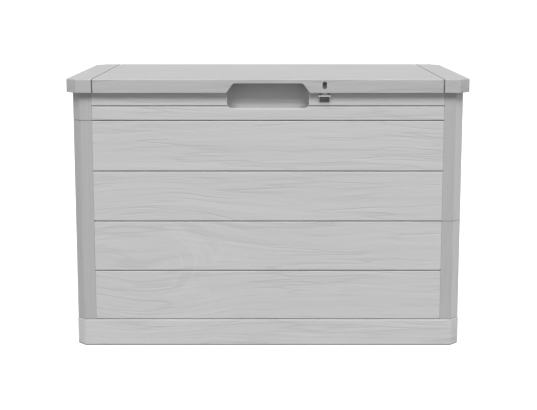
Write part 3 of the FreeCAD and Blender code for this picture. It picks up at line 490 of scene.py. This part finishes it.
def zinc_steel(name):
    """Steel under a thin coat of zinc, which is cloudy."""
    finish = new_finish(name)
    x, y, z = spot(finish)
    cloud = noise(finish, x * ZINC_CLOUDS, y * ZINC_CLOUDS, z * ZINC_CLOUDS, detail=3.0)
    tint = finish.node("ShaderNodeMix", {"data_type": "RGBA"},
                       {0: cloud, 6: DARK_ZINC, 7: LIGHT_ZINC}, output=2)
    bump = finish.node("ShaderNodeBump",
                       inputs={"Strength": 1.0, "Distance": ZINC_HEIGHT, "Height": cloud})
    surface = finish.node("ShaderNodeBsdfPrincipled",
                          inputs={"Base Color": tint, "Metallic": 1.0, "Normal": bump,
                                  "Roughness": ZINC_ROUGH + cloud * ZINC_ROUGHER})
    finish.node("ShaderNodeOutputMaterial", inputs={"Surface": surface})
    return finish.owner


HINGE_TONE = 0.12
hinge_plastic = plain_plastic("hinge_plastic", HINGE_TONE, rough=0.42)
staple_plastic = plain_plastic("staple_plastic", WALL_TONE, rough=0.40)
zinc = zinc_steel("zinc_steel")
print("hardware finishes: hinge plastic, staple plastic and zinc-plated steel")

# %% [markdown]
# ## Put the finishes on the model's pieces
# The shapes are right as they are, so only their material slots change. Each piece's finish is
# found by the start of its name, which spares a list of all of them.

# %% Assign the finishes
FINISHES = (
    ("post_", post_plastic),
    ("base_tray", base_plastic),
    ("lid_shell", lid_plastic),
    ("padlock_staple", staple_plastic),
    ("hinge_bracket_screws", zinc),
    ("hinge_leaf_screws", zinc),
    ("hinge_pin", zinc),
    ("hinge_", hinge_plastic),
    ("", wall_plastic),
)


def finish_of(node):
    """The first finish whose start of a name fits the node."""
    return next(finish for start, finish in FINISHES if node.startswith(start))


for node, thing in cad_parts.items():
    thing.data.materials.clear()
    thing.data.materials.append(finish_of(node))
print(len(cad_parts), "pieces have their finish")

# %% [markdown]
# ## Floor and sky
# The photograph is a bare cut-out on white. A floor and a sky that bright would also light the
# box from below and from all round, and the shade under the lid would be gone. So both look
# white to the camera and give off less light than they seem to, which is what the Light Path
# node's Is Camera Ray is for. Neither belongs to the box.

# %% Lay the floor and hang the sky
FLOOR_GIVES = 0.36
FLOOR_GLOW = 0.75
SKY_GIVES = 0.27
FLOOR_RADIUS = 40.0
FLOOR_SIDES = 96
WHITE = (1.0, 1.0, 1.0, 1.0)


def floor_finish():
    """A pale floor with a glow that only the camera sees."""
    finish = new_finish("pale_floor")
    seen = finish.node("ShaderNodeLightPath", output="Is Camera Ray")
    paint = finish.node("ShaderNodeBsdfDiffuse",
                        inputs={"Color": (FLOOR_GIVES, FLOOR_GIVES, FLOOR_GIVES, 1.0)})
    glow = finish.node("ShaderNodeEmission", inputs={"Strength": FLOOR_GLOW})
    bright = finish.node("ShaderNodeAddShader", inputs={0: paint, 1: glow})
    surface = finish.node("ShaderNodeMixShader", inputs={0: seen, 1: paint, 2: bright})
    finish.node("ShaderNodeOutputMaterial", inputs={"Surface": surface})
    return finish.owner


def lay_floor():
    """A wide disc on the ground, so that no view sees its edge."""
    shape = bmesh.new()
    bmesh.ops.create_circle(shape, cap_ends=True, segments=FLOOR_SIDES, radius=FLOOR_RADIUS)
    data = bpy.data.meshes.new("floor")
    shape.to_mesh(data)
    shape.free()
    data.materials.append(floor_finish())
    floor = bpy.data.objects.new("floor", data)
    bpy.context.scene.collection.objects.link(floor)


def hang_sky():
    """An even sky that looks white and gives off less."""
    sky = Finish(bpy.data.worlds.new("white_sky"))
    bpy.context.scene.world = sky.owner
    seen = sky.node("ShaderNodeLightPath", output="Is Camera Ray")
    strength = sky.node("ShaderNodeMapRange", inputs={0: seen, 3: SKY_GIVES, 4: 1.0})
    glow = sky.node("ShaderNodeBackground", inputs={"Color": WHITE, "Strength": strength})
    sky.node("ShaderNodeOutputWorld", inputs={"Surface": glow})


lay_floor()
hang_sky()
print(f"floor and sky are laid, the sky gives {SKY_GIVES} of the white that it shows")

# %% [markdown]
# ## Lamps
# In the photograph the lid shades a band of wall about fifteen millimetres high below its rim,
# and that shade has a soft edge. So the main light comes from straight in front and rather high,
# and it is as wide as a large soft box. Weak fills from both sides lighten the cut corners, the
# right one more than the left. The back lamps are for the other views. They are kept out of
# reflections, because the lid's top is seen at a grazing angle from the front and would shine.

# %% Light the box
LAMP_DISTANCE = 4.0


def soft_sun(name, direction, elevation, softness, strength, sheen):
    """A wide sun. Direction 0 shines from the front, 90 from the right."""
    turn, rise = math.radians(direction), math.radians(elevation)
    away = Vector((math.sin(turn) * math.cos(rise), -math.cos(turn) * math.cos(rise),
                   math.sin(rise)))
    lamp = bpy.data.objects.new(name, bpy.data.lights.new(name, "SUN"))
    lamp.data.angle = math.radians(softness)
    lamp.data.energy = strength
    lamp.visible_glossy = sheen
    lamp.location = away * LAMP_DISTANCE
    lamp.rotation_mode = "QUATERNION"
    lamp.rotation_quaternion = away.to_track_quat("Z", "Y")
    bpy.context.scene.collection.objects.link(lamp)
    print(f"{name}: {direction:.0f} degrees round, {elevation:.0f} up, strength {strength}")


LAMPS = (
    # name, degrees round, degrees up, degrees wide, strength, seen in reflections
    ("high_lamp", 0.0, 54.5, 28.0, 3.81, True),
    ("left_fill", -75.0, 20.0, 60.0, 0.15, True),
    ("right_fill", 75.0, 20.0, 60.0, 0.27, True),
    ("left_back_lamp", -120.0, 15.0, 50.0, 0.62, False),
    ("right_back_lamp", 120.0, 15.0, 50.0, 0.62, False),
    ("back_lamp", 180.0, 30.0, 50.0, 1.5, False),
)
for lamp in LAMPS:
    soft_sun(*lamp)

# %% [markdown]
# ## Camera
# The photograph was taken with the camera level and its lens shifted far down, so its uprights
# are parallel. A shift that large would push the box out of every other view, so a small one is
# kept, and the camera looks down a little. Distance, height and lens are the ones that bring the
# corners of the model nearest to the photograph's.

# %% Set the camera
SENSOR_MM = 36.0
PICTURE_WIDTH = 537
FOCAL_PIXELS = 1145.0
DISTANCE = 2.19
HEIGHT = 0.705
PITCH = 8.81
SHIFT = -0.075
OFF_CENTRE = 0.001
camera = bpy.data.objects.new("camera", bpy.data.cameras.new("camera"))
camera.data.sensor_width = SENSOR_MM
camera.data.lens = SENSOR_MM * FOCAL_PIXELS / PICTURE_WIDTH
camera.data.shift_y = SHIFT
camera.location = (OFF_CENTRE, lid_low.y - DISTANCE, HEIGHT)
camera.rotation_euler = (math.radians(90.0 - PITCH), 0.0, 0.0)
bpy.context.scene.collection.objects.link(camera)
bpy.context.scene.camera = camera
bpy.context.scene.view_settings.view_transform = "Standard"
print(f"camera {DISTANCE} m in front of the lid, lens {camera.data.lens:.1f} mm")
